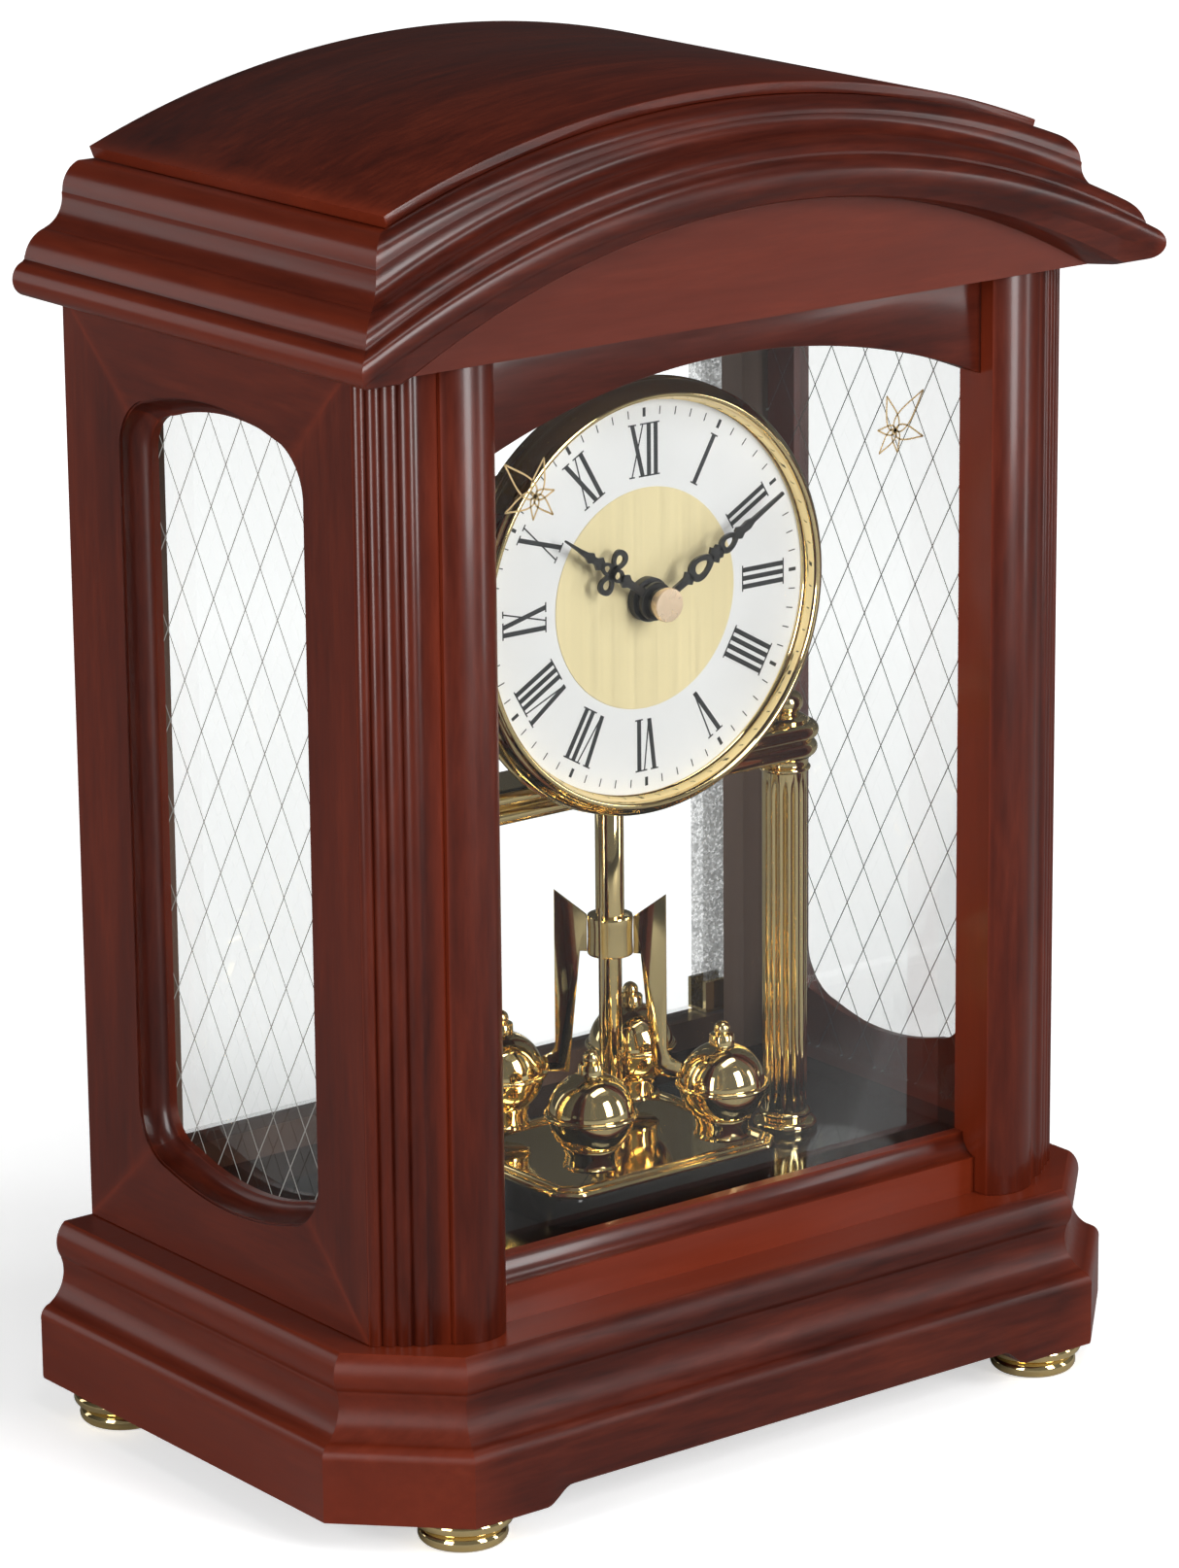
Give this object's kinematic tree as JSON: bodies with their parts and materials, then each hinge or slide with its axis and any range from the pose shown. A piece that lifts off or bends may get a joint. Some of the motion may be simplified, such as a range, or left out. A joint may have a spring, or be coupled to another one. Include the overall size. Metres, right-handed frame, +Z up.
{
  "type": "mantel clock",
  "caption": "Glazed hardwood mantel clock with an arched crown, round dial, brass columns and a revolving ball pendulum; opens at the back.",
  "frame": {"origin": "centre of the footprint on the ground, under the feet", "axes": "+X to the viewer's right when facing the dial, +Y to the back, +Z up; the dial faces -Y"},
  "size_m": [0.233, 0.1482, 0.3191],
  "materials": {
    "mahogany": "satin lacquer",
    "dark_board": "matt stain",
    "clear_glass": "polished",
    "gilt_brass": "mirror polish",
    "brushed_gilt": "brushed",
    "gear_brass": "machined",
    "black_gloss": "gloss",
    "black_plastic": "fine texture",
    "black_hand": "satin black",
    "plated_steel": "plated",
    "white_dial": "satin white",
    "battery_jacket": "printed film",
    "circuit_green": "solder mask",
    "coil_copper": "enamelled wire"
  },
  "bodies": {
    "case": {"feet": "gilt_brass", "base_board": "dark_board", "base_front_moulding": "mahogany", "base_corner_mouldings": "mahogany", "base_side_mouldings": "mahogany", "case_floor": "black_gloss", "side_frame_left": "mahogany", "side_frame_right": "mahogany", "side_glass_left": "clear_glass", "side_glass_right": "clear_glass", "pilaster_left": "mahogany", "pilaster_right": "mahogany", "column_left": "mahogany", "column_right": "mahogany", "front_header": "mahogany", "front_rail": "mahogany", "front_glass": "clear_glass", "glass_clips": "plated_steel", "ceiling_board": "dark_board", "back_rail": "mahogany", "back_top_rail": "mahogany", "back_stiles": "mahogany", "fascia": "mahogany", "crown_front_moulding": "mahogany", "crown_side_mouldings": "mahogany", "crown_back": "dark_board", "crown_top": "mahogany", "hinge_bushes": "gilt_brass", "catch_magnet": "plated_steel", "insert_plinth": "black_gloss", "base_plate": "gilt_brass", "insert_column_left": "gilt_brass", "insert_column_right": "gilt_brass", "crossbar": "gilt_brass", "finials": "gilt_brass", "dial_can": "gilt_brass", "bezel": "gilt_brass", "dial_plate": "white_dial", "dial_centre": "brushed_gilt", "movement_case": "black_plastic", "movement_back": "black_plastic", "battery": "battery_jacket", "circuit_board": "circuit_green", "drive_coil": "coil_copper", "mounting_nut": "black_plastic"},
    "back_door": {"door_glass": "clear_glass", "hinge_clamps": "gilt_brass", "hinge_pins": "gilt_brass", "door_knob": "gilt_brass", "catch_plate": "plated_steel"},
    "minute_set": {"centre_arbor": "gear_brass", "minute_hand": "black_hand", "hand_nut": "gilt_brass"},
    "hour_set": {"hour_wheel": "gear_brass", "hour_hand": "black_hand"},
    "setting_set": {"setting_wheel": "gear_brass", "set_knob": "black_plastic"},
    "pendulum": {"pendulum_stem": "gilt_brass", "pendulum_blades": "gilt_brass", "pendulum_balls": "gilt_brass"}
  },
  "joints": [
    {"name": "door_swing", "type": "hinge", "parent": "case", "child": "back_door", "pos_m": [0.088, 0.06325, 0.1577], "axis": [0, 0, -1], "range_deg": [0, 110]},
    {"name": "minute_turn", "type": "hinge", "parent": "case", "child": "minute_set", "pos_m": [0, -0.02435, 0.197], "axis": [0, 1, 0], "continuous": true},
    {"name": "hour_turn", "type": "hinge", "parent": "case", "child": "hour_set", "pos_m": [0, -0.02235, 0.197], "axis": [0, 1, 0], "continuous": true},
    {"name": "setting_turn", "type": "hinge", "parent": "case", "child": "setting_set", "pos_m": [0, 0.00565, 0.205], "axis": [0, 1, 0], "continuous": true},
    {"name": "pendulum_turn", "type": "hinge", "parent": "case", "child": "pendulum", "pos_m": [0, -0.00565, 0.1077], "axis": [0, 0, 1], "range_deg": [-135, 135]}
  ],
  "couplings": [
    {"joint": "hour_turn", "follows": "minute_turn", "ratio": 0.083333},
    {"joint": "setting_turn", "follows": "minute_turn", "ratio": -0.33333}
  ]
}
